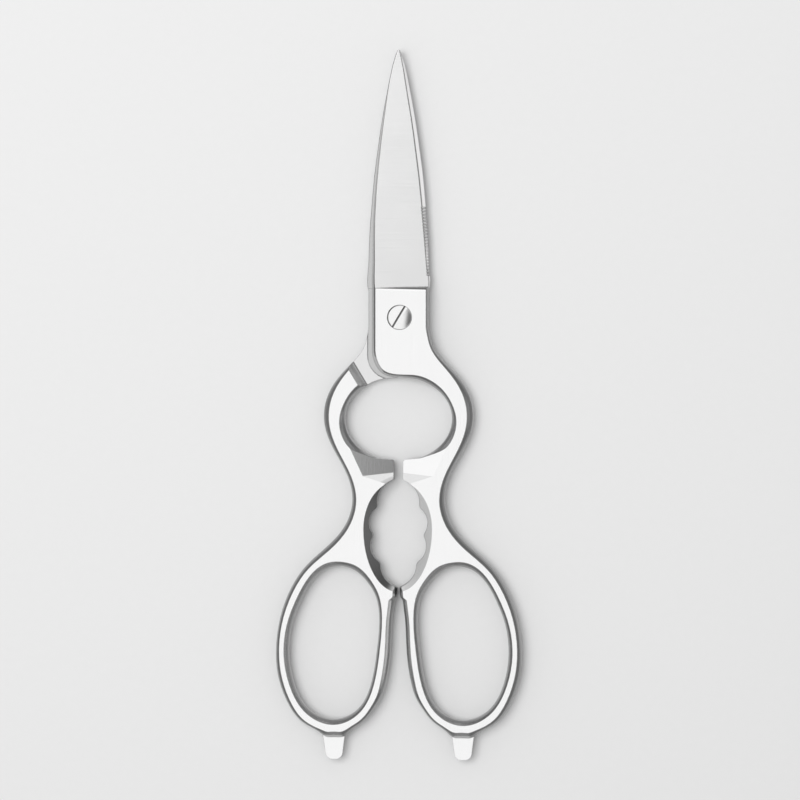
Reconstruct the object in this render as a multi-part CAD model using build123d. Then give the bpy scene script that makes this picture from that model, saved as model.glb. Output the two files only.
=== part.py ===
from build123d import *
import os
from math import cos, hypot, radians, sin, tan

# Forged all-steel kitchen shears, lying closed and flat: +Y to the tips, +Z up, pivot axis on Z.
# One forging is described about the centre line of the closed shears, with z = 0 halfway up.
# As it stands it is the upper half; turned over about the centre line it is the lower half.

# Overall sizes, in mm
HANDLE_THICKNESS = 6.4      # flat to flat
HANDLE_LENGTH = 120.4       # pivot level down to the far side of a finger loop
HANDLE_HALF_WIDTH = 35.4    # centre line to the outermost point of a finger loop
BLADE_LENGTH = 68.3         # heel to tip
HEEL_LEVEL = 8.3            # pivot level up to the heel
EDGE_HALF_WIDTH = 9.0       # centre line to the cutting edge at the heel
RICASSO_HALF_WIDTH = 8.7    # centre line to the ricasso's side below the heel
SPINE_HALF_WIDTH = 7.5      # centre line to the spine at the heel
PIVOT_OFFSET = 0.5          # centre line to the pivot axis, towards the upper cutting edge
RIDE_GAP = 0.06             # between the two ride faces

# Side walls: how far the edge of the flat lies inside the silhouette, and their rounding
WALL_WIDTH = 1.45
WALL_HEIGHT_SHARES = (0.0, 0.4, 0.75, 1.0)
WALL_INSET_SHARES = (0.0, 0.13, 0.5, 1.0)

# Bow at its widest place
BOW_SHARE = 0.605           # centre line to its outermost point, of the handle half width
BOW_WIDTH = 6.117           # from there to the bottle opener

# Outer side, from the stop round the finger loop to the ricasso: shares of the half width,
# of the handle length (downwards) and of the wall width
OUTER_SHARES = (
    (0.032, 0.673, 1.0),
    (0.052, 0.722, 1.0),
    (0.063, 0.792, 1.0),
    (0.100, 0.868, 0.97),
    (0.145, 0.908, 0.86),
    (0.185, 0.927, 0.77),
    (0.295, 0.965, 0.7),
    (0.369, 0.980, 0.75),
    (0.410, 0.991, 1.0),
    (0.450, 0.999, 1.3),
    (0.520, 1.000, 1.38),
    (0.590, 0.999, 1.3),
    (0.630, 0.991, 1.0),
    (0.690, 0.980, 0.72),
    (0.791, 0.9625, 0.8),
    (0.896, 0.923, 0.9),
    (0.958, 0.881, 0.95),
    (0.9915, 0.8405, 0.95),
    (1.000, 0.794, 0.87),
    (0.969, 0.719, 0.85),
    (0.893, 0.654, 0.9),
    (0.757, 0.592, 0.9),
    (0.571, 0.5415, 1.0),
    (0.432, 0.492, 1.0),
    (0.377, 0.434, 1.0),
    (0.4175, 0.376, 0.85),
    (0.524, 0.317, 0.92),
    (BOW_SHARE, 0.253, 1.2),
    (0.590, 0.195, 1.2),
    (0.479, 0.138, 0.9),
    (0.337, 0.093, 0.6),
    (0.269, 0.057, 0.48),
    (0.249, 0.030, 0.43),
    (0.246, 0.010, 0.43),
)

# Finger hole: shares of the handle half width, of the handle length (downwards) and of the
# wall width
LOOP_HOLE_SHARES = (
    (0.466, 0.592, 1.0),
    (0.624, 0.605, 1.0),
    (0.7185, 0.634, 0.85),
    (0.789, 0.672, 0.85),
    (0.8525, 0.7185, 0.85),
    (0.890, 0.794, 0.9),
    (0.8475, 0.872, 0.8),
    (0.7305, 0.9315, 0.8),
    (0.520, 0.956, 1.0),
    (0.3275, 0.9305, 0.8),
    (0.225, 0.872, 0.75),
    (0.178, 0.794, 0.75),
    (0.158, 0.715, 0.75),
    (0.192, 0.6595, 0.9),
    (0.246, 0.633, 1.0),
    (0.339, 0.605, 1.1),
)

# Rounded corner of the tang: shares of the spine half width, of the opener's top level
# (downwards) and of the wall width
TANG_SHARES = (
    (-1.0, 0.50, 0.75),
    (-0.92, 0.74, 0.75),
    (-0.62, 0.93, 0.65),
    (-0.13, 1.00, 0.55),
)

# Bottle opener, an oval opening between the two bows
OPENER_LEVEL_SHARE = 0.240  # pivot level down to its widest place, of the handle length
OPENER_TOP_SHARE = 0.099    # above that place, of the handle length
OPENER_FOOT_SHARE = 0.102   # below that place, of the handle length
OPENER_ANGLES = (70, 52, 35, 18, 0, -18, -36, -52, -66)
OPENER_WALL_SHARES = (0.8, 0.9, 0.8, 0.75, 1.0, 1.25, 1.3, 0.8, 0.25)

# Nutcracker jaws: a nose below the opener, scallops between teeth, and a stop. Levels and
# lengths along the handle are shares of the handle length.
JAW_GAP = 2.6               # between the two noses
JAW_LEVEL_SHARE = 0.338     # pivot level down to the nose
NOSE_LENGTH_SHARE = 0.0475
NOSE_RADIUS = 0.8
TOOTH_REACH = 7.1           # centre line to the middle tooth
TOOTH_SHARES = (0.84, 1.0, 0.73)
TOOTH_PITCH_SHARE = 0.0656
TOOTH_RADIUS = 1.3
SCALLOP_DEPTH = 1.9
SCALLOP_SHARES = (0.95, 1.0, 0.95, 0.75)
STOP_GAP = 0.4              # between the two stops at their top
STOP_FOOT_GAP = 0.9         # between them at their foot
STOP_RISE_SHARE = 0.0085    # the last scallop ends this much above a full pitch
STOP_LENGTH_SHARE = 0.025
STOP_RADIUS = 0.8
STOP_WALL = 1.1             # edge of the flat behind the stop

# Hollow ground into each face round the nutcracker's opening
HOLLOW_HALF_WIDTH = 9.85
HOLLOW_LEVEL_SHARE = 0.5025
HOLLOW_TOP_SHARE = 0.114
HOLLOW_FOOT_SHARE = 0.149
HOLLOW_DEPTH = 2.2
HOLLOW_SLOPE = 30.0         # degrees

# Thinned nose: a slope that falls from the bow towards the gap, and the ramp below it
NOSE_CORNER_REACH = 10.1    # centre line to the corner of the slope
NOSE_CORNER_SHARE = 0.377   # pivot level down to it, of the handle length
NOSE_SLOPE = 12.0           # degrees
NOSE_SLOPE_HEADING = 65.0   # degrees from +X, along the bow
NOSE_RAMP = 26.0            # degrees
NOSE_RAMP_HEADING = 18.0    # degrees from +X

# Blade stations: shares of its length, of the two half widths, of the bevel and of the
# spine wall
BLADE_SHARES = (
    (-0.015, 0.950, 0.965, 0.30, 1.00),
    (0.000, 0.985, 0.990, 0.30, 1.00),
    (0.087, 0.978, 0.985, 0.64, 0.90),
    (0.200, 0.944, 0.968, 1.00, 0.80),
    (0.350, 0.865, 0.915, 1.25, 0.75),
    (0.490, 0.767, 0.805, 1.38, 0.70),
    (0.600, 0.655, 0.694, 1.34, 0.65),
    (0.700, 0.545, 0.575, 1.21, 0.60),
    (0.800, 0.410, 0.445, 1.06, 0.55),
    (0.900, 0.262, 0.285, 0.75, 0.40),
    (0.965, 0.140, 0.130, 0.45, 0.25),
    (1.000, 0.045, 0.020, 0.15, 0.10),
)
BEVEL_WIDTH = 1.0           # seen from above, where it is as high as at the heel
BEVEL_HEIGHT = 1.15         # at the heel
TIP_THICKNESS = 1.3
SPINE_STEP = 0.1            # ground face below the flat, at the spine's heel
HEEL_WALL = 0.5             # foot of the heel's wall in front of its top

# Fine grooves across the upper blade's bevel
GROOVE_COUNT = 24
GROOVE_PITCH = 0.83
GROOVE_START = 4.0          # heel to the first groove
GROOVE_RADIUS = 0.4
GROOVE_DEPTH = 0.13

# Neck, thinned so that the other tang can swing past, and the wall where the handle starts
NECK_DEPTH = 0.35
NECK_REACH = 13.7           # centre line to the outer end of the wall's foot
NECK_LEVEL_SHARE = 0.1015   # pivot level down to it, of the handle length
NECK_HEADING = 59.0         # degrees from +X, along the wall
NECK_WALL_LEAN = 26.0       # degrees from upright
NECK_FILLET = 1.0
RIDE_HALF_WIDTH = 8.8
RIDE_FOOT_SHARE = 0.1445    # pivot level down to the foot of the ride face
RIDE_CORNER = 6.5
RIDE_WALL_LEAN = 45.0       # degrees from upright

# Screwdriver tab on the far side of each finger loop
LOOP_FOOT_SHARE = 0.524     # centre line to the loop's lowest point, of the half width
TAB_LENGTH = 6.2
TAB_WIDTH = 6.8
TAB_END_SHARE = 0.66
TAB_THICKNESS = 2.6
TAB_EDGE_SHARE = 0.55
TAB_ROUNDING = 2.0
TAB_ROOT = 2.5

# Pivot screw
HEAD_RADIUS = 3.45
HEAD_THICKNESS = 1.2        # of its rim
HEAD_DOME = 0.5
SLOT_WIDTH = 1.2
SLOT_DEPTH = 0.7
SLOT_HEADING = 59.0         # degrees from +X
SHANK_RADIUS = 2.5
THREAD_RADIUS = 2.1
SCREW_RECESS = 0.3          # end of the screw inside the lower half's flat
SHANK_FIT = 0.05
THREAD_FIT = 0.02
HEAD_FIT = 0.12
SEAT_GAP = 0.03             # under the head

OVERRUN = 1.0
HALF = HANDLE_THICKNESS / 2
RIDE = RIDE_GAP / 2
FAR = 2 * HANDLE_LENGTH
OPENER_HALF_WIDTH = BOW_SHARE * HANDLE_HALF_WIDTH - BOW_WIDTH
OPENER_LEVEL = OPENER_LEVEL_SHARE * HANDLE_LENGTH
OPENER_TOP_LENGTH = OPENER_TOP_SHARE * HANDLE_LENGTH
OPENER_FOOT_LENGTH = OPENER_FOOT_SHARE * HANDLE_LENGTH
JAW_LEVEL = JAW_LEVEL_SHARE * HANDLE_LENGTH
TOOTH_PITCH = TOOTH_PITCH_SHARE * HANDLE_LENGTH


def scaled(shares, width, length):
    """Outline points with their wall widths from shares of a width and a length."""
    return [(x * width, -y * length, wall * WALL_WIDTH) for x, y, wall in shares]


def inset(points, share, closed=False):
    """Points moved to the left of their direction of travel by a share of their walls."""
    moved = []
    last = len(points) - 1
    for index, (x, y, wall) in enumerate(points):
        before = points[index - 1] if index or closed else points[0]
        after = points[index + 1] if index < last else points[0 if closed else last]
        run_x = after[0] - before[0]
        run_y = after[1] - before[1]
        step = share * wall / hypot(run_x, run_y)
        moved.append((x - step * run_y, y + step * run_x))
    return moved


def opener_point(angle):
    """Point of the bottle opener's oval, which is two half ellipses."""
    length = OPENER_TOP_LENGTH if angle > 0 else OPENER_FOOT_LENGTH
    return OPENER_HALF_WIDTH * cos(radians(angle)), length * sin(radians(angle)) - OPENER_LEVEL


def opener_points():
    """Points with wall widths along the bow's side of the bottle opener."""
    return [(*opener_point(angle), wall * WALL_WIDTH)
            for angle, wall in zip(OPENER_ANGLES, OPENER_WALL_SHARES)]


def jaw_corners(share):
    """Corners of the nose, the teeth and the stop, from the top down."""
    nose_foot = -JAW_LEVEL - NOSE_LENGTH_SHARE * HANDLE_LENGTH
    nose = [(JAW_GAP / 2, -JAW_LEVEL), (JAW_GAP / 2, nose_foot)]
    teeth = [(reach * TOOTH_REACH, nose_foot - (number + 1) * TOOTH_PITCH)
             for number, reach in enumerate(TOOTH_SHARES)]
    stop_top = teeth[-1][1] - TOOTH_PITCH + STOP_RISE_SHARE * HANDLE_LENGTH
    stop_foot = stop_top - STOP_LENGTH_SHARE * HANDLE_LENGTH
    stop = [(gap / 2 + share * STOP_WALL, level)
            for gap, level in ((STOP_GAP, stop_top), (STOP_FOOT_GAP, stop_foot))]
    return nose, teeth, stop


def forging_section(share):
    """Closed outline of ricasso, bow, jaws and finger loop, its walls inset by a share."""
    heel = HEEL_LEVEL + (1 - share) * HEEL_WALL
    spine = share * TANG_SHARES[0][2] * WALL_WIDTH - SPINE_HALF_WIDTH
    edge = RICASSO_HALF_WIDTH - share * OUTER_SHARES[-1][2] * WALL_WIDTH
    tang = scaled(TANG_SHARES, SPINE_HALF_WIDTH, OPENER_LEVEL - OPENER_TOP_LENGTH)
    inner = inset(tang + opener_points(), share)
    inner[0] = (spine, inner[0][1])
    outer = inset(scaled(OUTER_SHARES, HANDLE_HALF_WIDTH, HANDLE_LENGTH), share)
    outer[-1] = (edge, outer[-1][1])
    start_heading = (outer[1][0] - outer[0][0], outer[1][1] - outer[0][1])
    nose, teeth, stop = jaw_corners(share)
    edges = [Line((edge, heel), (spine, heel)), Line((spine, heel), inner[0]), Spline(*inner),
             Line(inner[-1], nose[0]), Line(*nose)]
    for start, end, depth in zip(nose[1:] + teeth, teeth + stop, SCALLOP_SHARES):
        edges.append(SagittaArc(start, end, depth * SCALLOP_DEPTH))
    edges += [Line(*stop), Line(stop[1], outer[0]),
              Spline(*outer, tangents=(start_heading, (0, 1))), Line(outer[-1], (edge, heel))]
    outline = make_face(Wire(edges))
    rounded = ((nose, NOSE_RADIUS), (teeth, TOOTH_RADIUS), (stop[:1], STOP_RADIUS))
    for corners, radius in rounded:
        for corner in corners:
            outline = fillet(outline.vertices().sort_by_distance(corner)[0], radius)
    return outline.face().outer_wire()


def loop_hole_section(share):
    """Closed outline of the finger hole, widened by a share of its walls."""
    points = inset(scaled(LOOP_HOLE_SHARES, HANDLE_HALF_WIDTH, HANDLE_LENGTH), share, closed=True)
    return Wire([Spline(*points, periodic=True)])


def rounded_stack(section):
    """Solid from the middle plane to the flat, with the walls' rounding."""
    levels = zip(WALL_HEIGHT_SHARES, WALL_INSET_SHARES)
    return Solid.make_loft([Pos(0, 0, height * HALF) * section(share) for height, share in levels],
                           ruled=True)


def both_faces(tool):
    """A tool and its mirror image on the other face."""
    return tool + mirror(tool, Plane.XY)


def oval(grow, height):
    """Egg-shaped outline of the nutcracker's hollow, grown and set at a height."""
    half_width = HOLLOW_HALF_WIDTH + grow
    top_length = HOLLOW_TOP_SHARE * HANDLE_LENGTH + grow
    foot_length = HOLLOW_FOOT_SHARE * HANDLE_LENGTH + grow
    top = EllipticalCenterArc((0, 0), half_width, top_length, 0, arc_size=180)
    foot = EllipticalCenterArc((0, 0), half_width, foot_length, 180, arc_size=180)
    return Pos(0, -HOLLOW_LEVEL_SHARE * HANDLE_LENGTH, height) * Wire([top, foot])


def nutcracker_hollow():
    """Sloping hollow round the nutcracker's opening, for the upper face."""
    spread = 1 / tan(radians(HOLLOW_SLOPE))
    deep = oval(-HOLLOW_DEPTH * spread, HALF - HOLLOW_DEPTH)
    wide = oval(OVERRUN * spread, HALF + OVERRUN)
    return Solid.make_loft([deep, wide], ruled=True)


def space_above(heading, fall, reach):
    """Block above a plane that passes the nose corner and falls to the left of a heading."""
    along = (cos(radians(heading)), sin(radians(heading)), 0)
    across = (-sin(radians(heading)) * cos(radians(fall)),
              cos(radians(heading)) * cos(radians(fall)),
              -sin(radians(fall)))
    corner = (NOSE_CORNER_REACH, -NOSE_CORNER_SHARE * HANDLE_LENGTH, HALF)
    normal = Vector(*along).cross(Vector(*across))
    plane = Plane(origin=corner, x_dir=along, z_dir=normal)
    return plane * Box(2 * reach, 2 * reach, reach, align=(Align.CENTER, Align.CENTER, Align.MIN))


def nose_hollow():
    """Sloping thinning of the nose, for the upper face."""
    reach = OPENER_HALF_WIDTH
    slope = space_above(NOSE_SLOPE_HEADING, NOSE_SLOPE, reach)
    ramp = space_above(NOSE_RAMP_HEADING, NOSE_RAMP, reach + NOSE_CORNER_REACH)
    return slope & ramp


def ride_boss():
    """Raised ride face round the pivot, with the tang's rounded corner."""
    reach = Rectangle(FAR, FAR, align=(Align.MAX, Align.MIN))
    corner = reach.vertices().sort_by_distance((0, 0, 0))[0]
    foot = RIDE_FOOT_SHARE * HANDLE_LENGTH
    plan = Pos(RIDE_HALF_WIDTH, -foot, RIDE) * fillet(corner, RIDE_CORNER)
    return extrude(plan, NECK_DEPTH, taper=-RIDE_WALL_LEAN)


def under_space():
    """Space below the blade, ricasso and neck, up to the wall where the handle starts."""
    along = Vector(cos(radians(NECK_HEADING)), sin(radians(NECK_HEADING)), 0)
    outward = Vector(sin(radians(NECK_HEADING)), -cos(radians(NECK_HEADING)), 0)
    level = NECK_LEVEL_SHARE * HANDLE_LENGTH
    start = Plane((NECK_REACH, -level, 0), x_dir=outward, z_dir=-along)
    foot = NECK_DEPTH - HANDLE_THICKNESS
    lean = HANDLE_THICKNESS * tan(radians(NECK_WALL_LEAN))
    profile = make_face(Polyline((-FAR, NECK_DEPTH), (0, NECK_DEPTH), (lean, foot), (-FAR, foot),
                                 close=True))
    corner = profile.vertices().sort_by_distance((0, NECK_DEPTH, 0))[0]
    space = extrude(start * fillet(corner, NECK_FILLET), FAR, both=True)
    return space - ride_boss()


def blade_station(station):
    """Cross-section of the upper blade before its outer face is ground."""
    along, edge_share, spine_share, bevel_share, wall_share = station
    edge = edge_share * EDGE_HALF_WIDTH
    bevel_top = edge - bevel_share * BEVEL_WIDTH * (HALF - RIDE) / BEVEL_HEIGHT
    wall = wall_share * TANG_SHARES[0][2] * WALL_WIDTH
    side = [(inward * wall - spine_share * SPINE_HALF_WIDTH, max(up * HALF, RIDE))
            for up, inward in zip(WALL_HEIGHT_SHARES, WALL_INSET_SHARES)]
    level = Plane((0, HEEL_LEVEL + along * BLADE_LENGTH, 0), x_dir=(1, 0, 0), z_dir=(0, -1, 0))
    return level * Wire.make_polygon(side + [(bevel_top, HALF), (edge, RIDE)])


def ground_space():
    """Space above the blade's ground face, which falls from the spine to edge and tip."""
    spine = Vector(-SPINE_HALF_WIDTH, HEEL_LEVEL, HALF - SPINE_STEP)
    edge = Vector(EDGE_HALF_WIDTH, HEEL_LEVEL, BEVEL_HEIGHT)
    tip = Vector(0, HEEL_LEVEL + BLADE_LENGTH, TIP_THICKNESS)
    across = edge - spine
    face = Plane(origin=spine, x_dir=across, z_dir=across.cross(tip - spine))
    return face * Box(FAR, FAR, FAR, align=(Align.CENTER, Align.CENTER, Align.MIN))


def blade():
    """Ground blade from inside the ricasso to the tip."""
    return Solid.make_loft([blade_station(station) for station in BLADE_SHARES]) - ground_space()


def station_share(along, column):
    """Share of a blade station's column, found between two stations."""
    for low, high in zip(BLADE_SHARES, BLADE_SHARES[1:]):
        if low[0] <= along <= high[0]:
            part = (along - low[0]) / (high[0] - low[0])
            return low[column] + part * (high[column] - low[column])


def serration():
    """Row of fine grooves that run across the bevel."""
    grooves = []
    for number in range(GROOVE_COUNT):
        level = GROOVE_START + number * GROOVE_PITCH
        along = level / BLADE_LENGTH
        slope = Vector(-station_share(along, 3) * BEVEL_WIDTH, 0, BEVEL_HEIGHT).normalized()
        outward = Vector(slope.Z, 0, -slope.X)
        edge = Vector(station_share(along, 1) * EDGE_HALF_WIDTH, HEEL_LEVEL + level, RIDE)
        centre = edge + outward * (GROOVE_RADIUS - GROOVE_DEPTH)
        grooves.append(Plane(centre, z_dir=slope) * Cylinder(GROOVE_RADIUS, HANDLE_THICKNESS))
    return grooves


def tab():
    """Thin rounded tongue on the far side of the finger loop."""
    centre = LOOP_FOOT_SHARE * HANDLE_HALF_WIDTH
    root = TAB_ROOT - HANDLE_LENGTH
    end = -HANDLE_LENGTH - TAB_LENGTH
    root_half = TAB_WIDTH / 2
    end_half = TAB_END_SHARE * root_half
    plan = make_face(Polyline((centre - root_half, root), (centre + root_half, root),
                              (centre + end_half, end), (centre - end_half, end), close=True))
    plan = fillet(plan.vertices().sort_by(Axis.Y)[:2], TAB_ROUNDING)
    thick = TAB_THICKNESS / 2
    thin = TAB_EDGE_SHARE * thick
    side = make_face(Polyline((root, -thick), (root, thick), (end, thin), (end, -thin), close=True))
    across = Plane((0, 0, 0), x_dir=(0, 1, 0), z_dir=(1, 0, 0))
    return extrude(plan, HALF, both=True) & extrude(across * side, HANDLE_HALF_WIDTH)


def forging():
    """Blade, ricasso, bow, jaws, finger loop and tab in one piece, without its pivot hole."""
    body = both_faces(rounded_stack(forging_section)) + tab()
    body -= both_faces(rounded_stack(loop_hole_section))
    body -= both_faces(nutcracker_hollow())
    body -= both_faces(nose_hollow())
    body -= under_space()
    return body + blade()


def upper_half():
    """Forging with the counterbored clearance hole, seen from above."""
    seat = HALF - HEAD_DOME - HEAD_THICKNESS - SEAT_GAP
    bore = Cylinder(SHANK_RADIUS + SHANK_FIT, FAR)
    recess = Cylinder(HEAD_RADIUS + HEAD_FIT, FAR, align=(Align.CENTER, Align.CENTER, Align.MIN))
    hole = Pos(PIVOT_OFFSET, 0, 0) * (bore + Pos(0, 0, seat) * recess)
    return Pos(-PIVOT_OFFSET, 0, HALF) * (forging() - hole - serration())


def lower_half():
    """Forging with the threaded hole, turned over about the centre line."""
    hole = Pos(-PIVOT_OFFSET, 0, 0) * Cylinder(THREAD_RADIUS + THREAD_FIT, FAR)
    return Pos(-PIVOT_OFFSET, 0, HALF) * Rot(0, 180, 0) * (forging() - hole)


def pivot_screw():
    """Slotted screw with a domed head, a plain shank and a thinner threaded end."""
    upright = (Align.CENTER, Align.CENTER, Align.MIN)
    shoulder = HALF - RIDE
    seat = HANDLE_THICKNESS - HEAD_DOME - HEAD_THICKNESS
    dome_radius = (HEAD_RADIUS ** 2 + HEAD_DOME ** 2) / (2 * HEAD_DOME)
    head = Cylinder(HEAD_RADIUS, HEAD_THICKNESS + HEAD_DOME, align=upright)
    head &= Pos(0, 0, HEAD_THICKNESS + HEAD_DOME - dome_radius) * Sphere(dome_radius)
    slot = Box(2 * HEAD_RADIUS, SLOT_WIDTH, 2 * SLOT_DEPTH)
    head -= Pos(0, 0, HEAD_THICKNESS + HEAD_DOME) * Rot(0, 0, SLOT_HEADING) * slot
    shank = Cylinder(SHANK_RADIUS, seat - shoulder, align=upright)
    thread = Cylinder(THREAD_RADIUS, shoulder - SCREW_RECESS, align=upright)
    return Pos(0, 0, seat) * head + Pos(0, 0, shoulder) * shank + Pos(0, 0, SCREW_RECESS) * thread


def main():
    """Write one STEP file for each piece."""
    os.makedirs("parts", exist_ok=True)
    pieces = {
        "upper_half": upper_half(),
        "lower_half": lower_half(),
        "pivot_screw": pivot_screw(),
    }
    for name, piece in pieces.items():
        export_step(piece, f"parts/{name}.step")


main()
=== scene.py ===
import math

import bpy
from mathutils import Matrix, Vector

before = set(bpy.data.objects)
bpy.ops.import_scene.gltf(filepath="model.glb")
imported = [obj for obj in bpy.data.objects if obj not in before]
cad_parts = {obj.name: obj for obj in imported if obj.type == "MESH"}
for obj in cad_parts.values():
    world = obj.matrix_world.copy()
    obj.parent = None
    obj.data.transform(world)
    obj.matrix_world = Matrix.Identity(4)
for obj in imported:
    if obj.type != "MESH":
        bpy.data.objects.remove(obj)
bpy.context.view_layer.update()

# Places on the object, in metres
MM = 0.001
HEEL_LEVEL = 8.3 * MM
TIP_LEVEL = 76.6 * MM
RIDE_LEVEL = 3.2 * MM
CENTRE_OFFSET = 0.5 * MM            # centre line of the closed shears, to the left of the pivot axis
FACE_LEVEL = 2.33 * MM              # blade's ground face above the ride level, on that line at the pivot
FACE_FALL_ACROSS = 0.118            # its fall towards the edge
FACE_FALL_ALONG = 0.0134            # its fall towards the tip
HOLLOW_CENTRE = (-CENTRE_OFFSET, -62.2 * MM)
HOLLOW_RADII = (10.4 * MM, 16.2 * MM)       # of an oval a little wider than the nutcracker's hollow
SLOT_LEVEL = 5.85 * MM              # the screw's slot lies below it
SLOT_HEADING = math.radians(59.0)

# Ranges over which a mask rises from 0 to 1: places, in metres
BLADE_START = (HEEL_LEVEL + 0.2 * MM, HEEL_LEVEL + 0.6 * MM)
RIDE_REACH = (0.20 * MM, 0.10 * MM)         # above or below the ride level
NECK_REACH = (0.70 * MM, 0.45 * MM)
HEEL_REACH = (0.8 * MM, 0.7 * MM)           # before or behind the heel
HOLLOW_REACH = (1.06, 1.02)                 # radii of the hollow's oval
SCREW_REACH = (4.4 * MM, 4.0 * MM)          # from the pivot axis
BEVEL_TOP = (0.28 * MM, 0.14 * MM)          # below the ground face
# where the painted shade line under the heel and its painted highlight band lie
LINE_GROWTH = (-6.0 * MM, 8.5 * MM)         # from the centre line, where the heel's line widens
LINE_TOP = (-0.1 * MM, 0.0)                 # below the heel
LINE_FOOT = (0.06 * MM, -0.02 * MM)         # below the line's lower side
SHINE_TOP = (0.0, 0.1 * MM)                 # below that side too
SHINE_FOOT = (0.7 * MM, 0.3 * MM)
SHINE_START = (-6.6 * MM, -5.6 * MM)        # from the centre line
SLOT_DEPTH = (SLOT_LEVEL, SLOT_LEVEL - 0.1 * MM)
SLOT_SIDE = (0.0, -0.25 * MM)               # from the slot's middle

# Ranges over which a mask rises from 0 to 1: shares of the normal
FLAT_FACING = (0.80, 0.93)
NOSE_FACING = ((0.93, 0.95), (0.985, 0.981))        # past what is steeper, and past what is flatter
HEEL_ALONG = (0.75, 0.90)
GROOVE_ALONG = (0.20, 0.40)
BEVEL_OUTWARD = (0.18, 0.30)
HOLLOW_OUTWARD = (0.05, 0.25)

# Tones of the steel
FLAT_TONES = (0.93, 0.97)           # darkest and lightest of its clouds
BLADE_TONES = (0.93, 1.00)          # at the heel and at the tip
# painted shade on flats near the ride level, where the lower half shows beside the upper one; darker
# still right at that level
NECK_SHADE_TONE = 0.80
RIDE_SHADE_TONE = 0.56
# painted shade: the forging's sides are darker than its flats, but not in the screw's well
SIDE_SHADE_TONE = 0.74
SCREW_WELL_TONE = 1.00
HOLLOW_SHADE_TONE = 0.26                  # painted shade on the hollow's side that faces the dark room
# painted shade on the heel's upright wall
HEEL_WALL_SHADE_TONE = 0.15
GRAIN_TONE = 0.70
# painted shade line under the heel, and the painted highlight band below it
HEEL_LINE_SHADE_TONE = 0.16
HEEL_HIGHLIGHT_TONE = 1.00
BEVEL_TONE = 0.97
# painted shade in the bevel's grooves
GROOVE_SHADE_TONE = 0.10
# painted shade line along the top of the bevel
BEVEL_TOP_SHADE_TONE = 0.22
# painted shade in crevices, where the sky is hidden
CREVICE_SHADE_TONE = 0.22
SCREW_TONES = (0.88, 0.95)
# painted shade on one side of the screw's slot
SLOT_SHADE_TONE = 0.10

# Finish of the steel
LINE_WIDTH = 0.42 * MM              # of the painted shade line under the heel, where it is widest
CREVICE_REACH = 0.7 * MM            # how far from a wall the painted shade on the steel beside it reaches
CREVICE_OPENNESS = (0.45, 0.80)     # share of its sky that is open, from dark to bright
EDGE_RADIUS = 0.25 * MM
CRISP_EDGE_RADIUS = 0.06 * MM       # of the screw and of its well
RELIEF_STRENGTH = 0.3
GRAIN_DEPTH = 0.02 * MM
GRAIN_SHARE = 0.08                  # of the tone
GRAIN_RANGE = (0.35, 0.75)
BRUSHED_ACROSS = (60.0, 3200.0, 60.0)           # scales of the grain along the axes
BRUSHED_LENGTHWISE = (2600.0, 90.0, 2600.0)
SPECKLE_SCALE = 5200.0
CLOUD_SCALE = 130.0
TURNED_DEPTH = 0.01 * MM
RING_SCALE = 9000.0
MARK_SCALE = 900.0

# Roughness of the steel
LEAST_ROUGHNESS = 0.16
GRAIN_ROUGHNESS = 0.12              # what the grain adds at most
CLOUD_ROUGHNESS = 0.05
NOSE_ROUGHNESS = 0.07
BEVEL_ROUGHNESS = 0.5
SCREW_ROUGHNESS = 0.14
RING_ROUGHNESS = 0.12

# Floor
FLOOR_SIZE = 6.0
PAPER_TONES = ((0.845, 0.865), (0.795, 0.815))      # of its tooth, past the tips and past the handles
PAPER_ENDS = (0.12, -0.14)          # those two places along Y
PAPER_ROUGHNESS = 0.95
TOOTH_SCALE = 420.0
TOOTH_DEPTH = 0.2 * MM
TOOTH_STRENGTH = 0.2
MIRRORED_TONES = (0.60, 0.17)       # as the steel mirrors it, close by and further off
MIRRORED_REACH = (4.5 * MM, 11.0 * MM)

# Studio
DOME_LEVEL = 0.55                   # even light on the floor
BACKGROUND_LEVEL = 0.84             # what the camera sees past the floor
DARK_HEADING = math.radians(8.0)    # dark end of what the steel mirrors, below the +X axis
SOFTBOX = (                         # its level, from the end opposite the dark one
    (0.00, 0.85), (0.10, 1.00), (0.57, 1.00), (0.60, 0.85), (0.625, 0.26), (0.68, 0.10),
    (0.74, 0.10), (0.90, 0.60), (1.00, 0.60))
SOFTBOX_FADE = ((0.08, 0.16), (0.20, 0.45), (0.50, 0.62), (0.62, 1.00))     # from the horizon up
ROOM = ((0.08, 0.10), (0.20, 0.32), (0.50, 0.32), (0.66, 0.10))             # least level, from there up
KEY_DIRECTION = Vector((-0.24, 0.10, 0.96))     # from the object to the lamp
KEY_DISTANCE = 1.2
KEY_SIZE = 0.87
KEY_WATTS = 7.5

# Camera
FIELD = 0.2288                      # width of the picture at the object
DISTANCE = 0.9
TILT = math.radians(5.0)            # to the right of straight down
TARGET = Vector((0.0, -0.0236, 0.0048))
SENSOR_WIDTH = 36.0                 # in millimetres


def grey(value):
    """Colour of one level in all channels."""
    return (value, value, value, 1.0)


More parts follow.
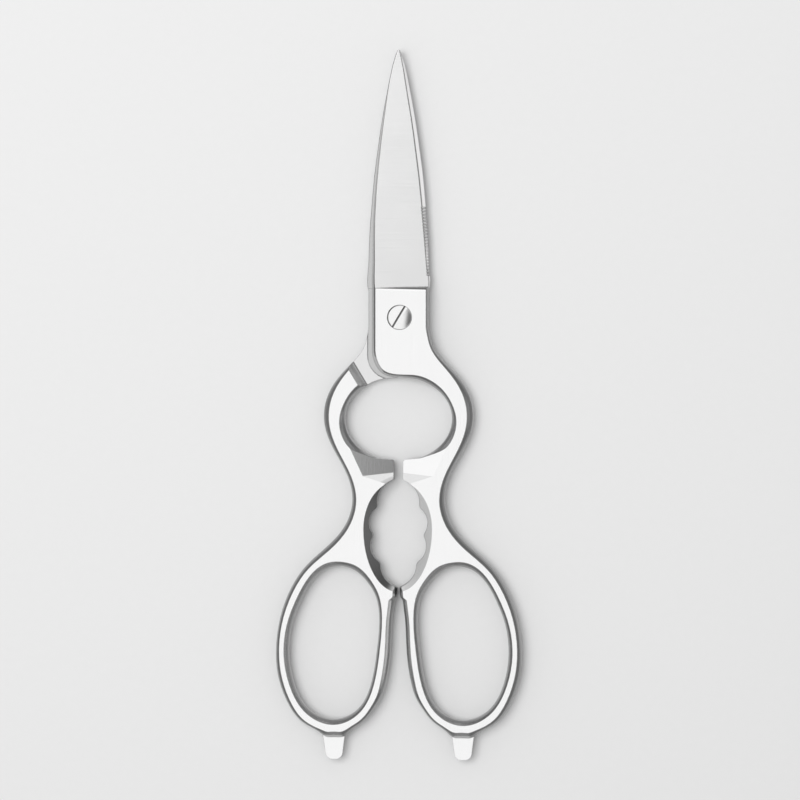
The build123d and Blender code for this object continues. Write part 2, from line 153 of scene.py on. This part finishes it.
class Graph:
    """Short names for building the nodes of a material or a world."""

    def __init__(self, owner):
        owner.use_nodes = True
        self.nodes = owner.node_tree.nodes
        self.links = owner.node_tree.links
        self.nodes.clear()

    def add(self, kind, inputs=None, **settings):
        node = self.nodes.new(kind)
        for key, value in settings.items():
            setattr(node, key, value)
        for key, value in (inputs or {}).items():
            self.feed(node.inputs[key], value)
        return node

    def feed(self, socket, value):
        if isinstance(value, bpy.types.NodeSocket):
            self.links.new(value, socket)
        else:
            socket.default_value = value

    def coordinates(self, name="Object"):
        return self.add("ShaderNodeTexCoord").outputs[name]

    def axes(self, vector):
        return self.add("ShaderNodeSeparateXYZ", {0: vector}).outputs

    def math(self, operation, first, second=0.0):
        return self.add("ShaderNodeMath", {0: first, 1: second}, operation=operation).outputs[0]

    def plus(self, first, second):
        return self.math("ADD", first, second)

    def minus(self, first, second):
        return self.math("SUBTRACT", first, second)

    def times(self, first, second):
        return self.math("MULTIPLY", first, second)

    def off(self, value, middle):
        """Distance of a value from a middle, to either side."""
        return self.math("ABSOLUTE", self.minus(value, middle))

    def across(self, x, y, heading):
        """Place along the direction that points to the right of a heading."""
        return self.minus(self.times(x, math.sin(heading)), self.times(y, math.cos(heading)))

    def between(self, value, low, high):
        """Mask that is 0 at the low value and 1 at the high one, which may be the smaller."""
        node = self.add("ShaderNodeMapRange", {"Value": value, "From Min": low, "From Max": high})
        return node.outputs["Result"]

    def curve(self, value, stops):
        node = self.add("ShaderNodeValToRGB", {0: value})
        elements = node.color_ramp.elements
        for place, level in stops[1:-1]:
            elements.new(place).color = grey(level)
        for element, (place, level) in ((elements[0], stops[0]), (elements[-1], stops[-1])):
            element.position = place
            element.color = grey(level)
        return node.outputs[0]

    def mix(self, factor, first, second):
        node = self.add("ShaderNodeMix", {0: factor, 6: first, 7: second}, data_type="RGBA")
        return node.outputs[2]

    def greys(self, factor, levels):
        """Tone from the first of two grey levels to the second."""
        return self.mix(factor, grey(levels[0]), grey(levels[1]))

    def blend(self, factor, first, second):
        node = self.add("ShaderNodeMix", {0: factor, 2: first, 3: second}, data_type="FLOAT")
        return node.outputs[0]

    def noise(self, vector, scale, detail=2.0, roughness=0.5):
        node = self.add("ShaderNodeTexNoise", {
            "Vector": vector, "Scale": scale, "Detail": detail, "Roughness": roughness})
        return node.outputs["Fac"]

    def stretch(self, vector, scale):
        node = self.add("ShaderNodeVectorMath", {0: vector, 1: scale}, operation="MULTIPLY")
        return node.outputs[0]

    def from_axis(self, place, centre=(0.0, 0.0), radii=(1.0, 1.0)):
        """Distance from an upright axis, in radii of an oval round it."""
        offset = (-centre[0], -centre[1], 0.0)
        shifted = self.add("ShaderNodeVectorMath", {0: place, 1: offset}, operation="ADD").outputs[0]
        flat = self.stretch(shifted, (1.0 / radii[0], 1.0 / radii[1], 0.0))
        return self.add("ShaderNodeVectorMath", {0: flat}, operation="LENGTH").outputs["Value"]

    def metal(self, tone, roughness, relief, relief_depth, edge_radius, metallic=1.0):
        """Steel with a fine relief, whose sharp edges catch the light as rounded ones do."""
        soft_edge = self.add("ShaderNodeBevel", {"Radius": edge_radius}, samples=6)
        bump = self.add("ShaderNodeBump", {
            "Strength": RELIEF_STRENGTH, "Distance": relief_depth, "Height": relief,
            "Normal": soft_edge.outputs[0]})
        shader = self.add("ShaderNodeBsdfPrincipled", {
            "Base Color": tone, "Metallic": metallic, "Roughness": roughness,
            "Normal": bump.outputs[0]})
        self.add("ShaderNodeOutputMaterial", {0: shader.outputs[0]})


class ForgingGraph(Graph):
    """Masks of a forging's surfaces, from their places and normals, and the steel's grain."""

    def __init__(self, owner):
        super().__init__(owner)
        self.place = self.coordinates()
        self.x, self.y, self.z = self.axes(self.place)
        lean_x, lean_y, lean_z = self.axes(self.coordinates("Normal"))
        self.facing = self.math("ABSOLUTE", lean_z)
        self.along = self.math("ABSOLUTE", lean_y)
        self.outward = self.times(lean_x, lean_z)
        self.side = self.math("SIGN", lean_z)
        self.to_edge = self.times(self.side, self.plus(self.x, CENTRE_OFFSET))
        self.on_flat = self.between(self.facing, *FLAT_FACING)
        self.on_blade = self.between(self.y, *BLADE_START)
        self.on_bevel = self.times(self.on_blade, self.between(self.outward, *BEVEL_OUTWARD))
        self.by_screw = self.between(self.from_axis(self.place), *SCREW_REACH)

    def flat_near_ride(self, reach):
        return self.times(self.on_flat, self.between(self.off(self.z, RIDE_LEVEL), *reach))

    # mask of the heel's wall, which gets painted shade
    def heel_wall(self):
        near = self.between(self.off(self.y, HEEL_LEVEL), *HEEL_REACH)
        return self.times(self.between(self.along, *HEEL_ALONG), near)

    def nose_slope(self):
        steeper, flatter = NOSE_FACING
        return self.times(self.between(self.facing, *flatter), self.between(self.facing, *steeper))

    # mask of the painted shade on one side of the nutcracker's hollow
    def shaded_hollow(self):
        radii_away = self.from_axis(self.place, HOLLOW_CENTRE, HOLLOW_RADII)
        return self.times(self.between(radii_away, *HOLLOW_REACH),
                          self.between(self.outward, *HOLLOW_OUTWARD))

    def heel_line(self):
        """Painted shade line under the heel, which widens towards the edge, and the painted highlight
        band below it.
        """
        below_heel = self.minus(HEEL_LEVEL, self.y)
        width = self.times(self.between(self.to_edge, *LINE_GROWTH), LINE_WIDTH)
        below_line = self.minus(below_heel, width)
        line = self.times(self.between(below_line, *LINE_FOOT), self.between(below_heel, *LINE_TOP))
        painted_highlight = self.times(self.between(below_line, *SHINE_TOP), self.between(below_line, *SHINE_FOOT))
        painted_highlight = self.times(painted_highlight, self.between(self.to_edge, *SHINE_START))
        return self.times(line, self.on_flat), self.times(painted_highlight, self.on_flat)

    # mask of the painted shade line along the bevel's top
    def bevel_top(self):
        fall = self.plus(self.times(self.to_edge, FACE_FALL_ACROSS), self.times(self.y, FACE_FALL_ALONG))
        above_ride = self.times(self.side, self.minus(self.z, RIDE_LEVEL))
        depth = self.minus(self.minus(FACE_LEVEL, fall), above_ride)
        return self.between(depth, *BEVEL_TOP)

    def crevice_openness(self):
        openness = self.add("ShaderNodeAmbientOcclusion", {"Distance": CREVICE_REACH}, samples=8)
        return self.between(openness.outputs["AO"], *CREVICE_OPENNESS)

    def grain(self):
        """Relief of steel brushed across the blade and along the handles, with a satin speckle."""
        across = self.noise(self.stretch(self.place, BRUSHED_ACROSS), 1.0, 3.0, 0.6)
        lengthwise = self.noise(self.stretch(self.place, BRUSHED_LENGTHWISE), 1.0, 3.0, 0.6)
        speckle = self.noise(self.place, SPECKLE_SCALE, 3.0, 0.65)
        return self.blend(0.5, self.blend(self.on_blade, lengthwise, across), speckle)


def forging_tone(g, grain, cloudy):
    """Tone of each surface of a forging, with painted shade and painted highlights in it."""
    to_tip = g.between(g.y, HEEL_LEVEL, TIP_LEVEL)
    tone = g.mix(g.on_blade, g.greys(cloudy, FLAT_TONES), g.greys(to_tip, BLADE_TONES))
    # painted shade on flats at and near the ride level
    tone = g.mix(g.flat_near_ride(NECK_REACH), tone, grey(NECK_SHADE_TONE))
    tone = g.mix(g.flat_near_ride(RIDE_REACH), tone, grey(RIDE_SHADE_TONE))
    # painted shade on the sides, none in the screw's well
    tone = g.mix(g.on_flat, g.greys(g.by_screw, (SIDE_SHADE_TONE, SCREW_WELL_TONE)), tone)
    tone = g.mix(g.shaded_hollow(), tone, grey(HOLLOW_SHADE_TONE))
    tone = g.mix(g.heel_wall(), tone, grey(HEEL_WALL_SHADE_TONE))
    tone = g.mix(g.times(g.between(grain, *GRAIN_RANGE), GRAIN_SHARE), tone, grey(GRAIN_TONE))

    # painted shade line under the heel and painted highlight below it
    line, painted_highlight = g.heel_line()
    tone = g.mix(line, tone, grey(HEEL_LINE_SHADE_TONE))
    tone = g.mix(painted_highlight, tone, grey(HEEL_HIGHLIGHT_TONE))

    # the bevel's grooves get painted shade
    bevel_tone = g.greys(g.between(g.along, *GROOVE_ALONG), (BEVEL_TONE, GROOVE_SHADE_TONE))
    bevel_tone = g.mix(g.bevel_top(), bevel_tone, grey(BEVEL_TOP_SHADE_TONE))
    tone = g.mix(g.on_bevel, tone, bevel_tone)
    # painted shade in crevices
    return g.mix(g.crevice_openness(), grey(CREVICE_SHADE_TONE), tone)


def forging_steel():
    """Satin stainless steel of a forging: polished flats, sides darkened by painted shade, and a ground
    blade.
    """
    material = bpy.data.materials.new("satin_steel")
    g = ForgingGraph(material)
    grain = g.grain()
    cloudy = g.noise(g.place, CLOUD_SCALE, 3.0, 0.55)

    roughness = g.plus(g.times(grain, GRAIN_ROUGHNESS), LEAST_ROUGHNESS)
    roughness = g.plus(roughness, g.times(cloudy, CLOUD_ROUGHNESS))
    roughness = g.blend(g.nose_slope(), roughness, NOSE_ROUGHNESS)
    roughness = g.blend(g.on_bevel, roughness, BEVEL_ROUGHNESS)

    edge_radius = g.blend(g.by_screw, EDGE_RADIUS, CRISP_EDGE_RADIUS)
    metallic = g.minus(1.0, g.on_bevel)
    g.metal(forging_tone(g, grain, cloudy), roughness, grain, GRAIN_DEPTH, edge_radius, metallic)
    return material


def turned_steel():
    """Finely turned and lightly polished steel of the screw; its slot has painted shade on one side."""
    material = bpy.data.materials.new("turned_steel")
    g = Graph(material)
    place = g.coordinates()
    x, y, z = g.axes(place)
    radius = g.from_axis(place)
    rings = g.noise(g.add("ShaderNodeCombineXYZ", {0: radius}).outputs[0], RING_SCALE)
    marks = g.noise(place, MARK_SCALE, 4.0, 0.6)
    # mask of the painted shade in the slot
    shaded = g.times(g.between(z, *SLOT_DEPTH), g.between(g.across(x, y, SLOT_HEADING), *SLOT_SIDE))
    tone = g.mix(shaded, g.greys(marks, SCREW_TONES), grey(SLOT_SHADE_TONE))
    roughness = g.plus(g.times(rings, RING_ROUGHNESS), SCREW_ROUGHNESS)
    g.metal(tone, roughness, rings, TURNED_DEPTH, CRISP_EDGE_RADIUS)
    return material


def paper():
    """Pale floor with a faint tooth, slightly darker towards the handles."""
    material = bpy.data.materials.new("paper")
    g = Graph(material)
    place = g.coordinates()
    tooth = g.noise(place, TOOTH_SCALE, 4.0, 0.6)
    down = g.between(g.axes(place)[1], *PAPER_ENDS)
    (dark_tip, pale_tip), (dark_end, pale_end) = PAPER_TONES
    tone = g.mix(tooth, g.greys(down, (dark_tip, dark_end)), g.greys(down, (pale_tip, pale_end)))
    path = g.add("ShaderNodeLightPath").outputs
    mirrored = g.greys(g.between(path["Ray Length"], *MIRRORED_REACH), MIRRORED_TONES)
    tone = g.mix(path["Is Glossy Ray"], tone, mirrored)
    bump = g.add("ShaderNodeBump", {
        "Strength": TOOTH_STRENGTH, "Distance": TOOTH_DEPTH, "Height": tooth})
    shader = g.add("ShaderNodeBsdfPrincipled", {
        "Base Color": tone, "Roughness": PAPER_ROUGHNESS, "Specular IOR Level": 0.1,
        "Normal": bump.outputs[0]})
    g.add("ShaderNodeOutputMaterial", {0: shader.outputs[0]})
    return material


def studio_world():
    """Even dome; the steel mirrors a wide softbox overhead, and a dark room beyond its right end."""
    world = bpy.data.worlds.new("studio")
    g = Graph(world)
    x, y, z = g.axes(g.coordinates("Generated"))
    to_dark = g.minus(g.times(x, math.cos(DARK_HEADING)), g.times(y, math.sin(DARK_HEADING)))
    softbox = g.times(g.curve(g.between(to_dark, -1.0, 1.0), SOFTBOX), g.curve(z, SOFTBOX_FADE))
    level = g.math("MAXIMUM", softbox, g.curve(z, ROOM))
    path = g.add("ShaderNodeLightPath").outputs
    level = g.blend(path["Is Glossy Ray"], DOME_LEVEL, level)
    level = g.blend(path["Is Camera Ray"], level, BACKGROUND_LEVEL)
    sky = g.add("ShaderNodeBackground", {"Color": grey(1.0), "Strength": level})
    g.add("ShaderNodeOutputWorld", {0: sky.outputs[0]})
    return world


def key_softbox():
    """Broad soft light overhead, a little to the left; it lights the floor and isn't mirrored."""
    data = bpy.data.lights.new("key_softbox", "AREA")
    data.shape = "DISK"
    data.size = KEY_SIZE
    data.energy = KEY_WATTS
    lamp = bpy.data.objects.new("key_softbox", data)
    bpy.context.scene.collection.objects.link(lamp)
    lamp.location = TARGET + KEY_DISTANCE * KEY_DIRECTION.normalized()
    lamp.rotation_euler = KEY_DIRECTION.to_track_quat("Z", "Y").to_euler()
    lamp.visible_glossy = False


def floor():
    """Plain floor under the shears."""
    bpy.ops.mesh.primitive_plane_add(size=FLOOR_SIZE, location=(0.0, 0.0, 0.0))
    plane = bpy.context.object
    plane.name = "floor"
    plane.data.materials.append(paper())


def photo_camera():
    """Camera at the photograph's viewing angle."""
    data = bpy.data.cameras.new("camera")
    data.sensor_width = SENSOR_WIDTH
    data.lens = SENSOR_WIDTH * DISTANCE / FIELD
    data.clip_start = 0.01
    camera = bpy.data.objects.new("camera", data)
    bpy.context.scene.collection.objects.link(camera)
    camera.location = TARGET + DISTANCE * Vector((math.sin(TILT), 0.0, math.cos(TILT)))
    camera.rotation_euler = (0.0, TILT, 0.0)
    bpy.context.scene.camera = camera


steel = forging_steel()
for node, material in (("upper_half", steel), ("lower_half", steel), ("pivot_screw", turned_steel())):
    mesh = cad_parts[node].data
    mesh.materials.clear()
    mesh.materials.append(material)

floor()
bpy.context.scene.world = studio_world()
key_softbox()
photo_camera()
bpy.context.scene.view_settings.view_transform = "Standard"
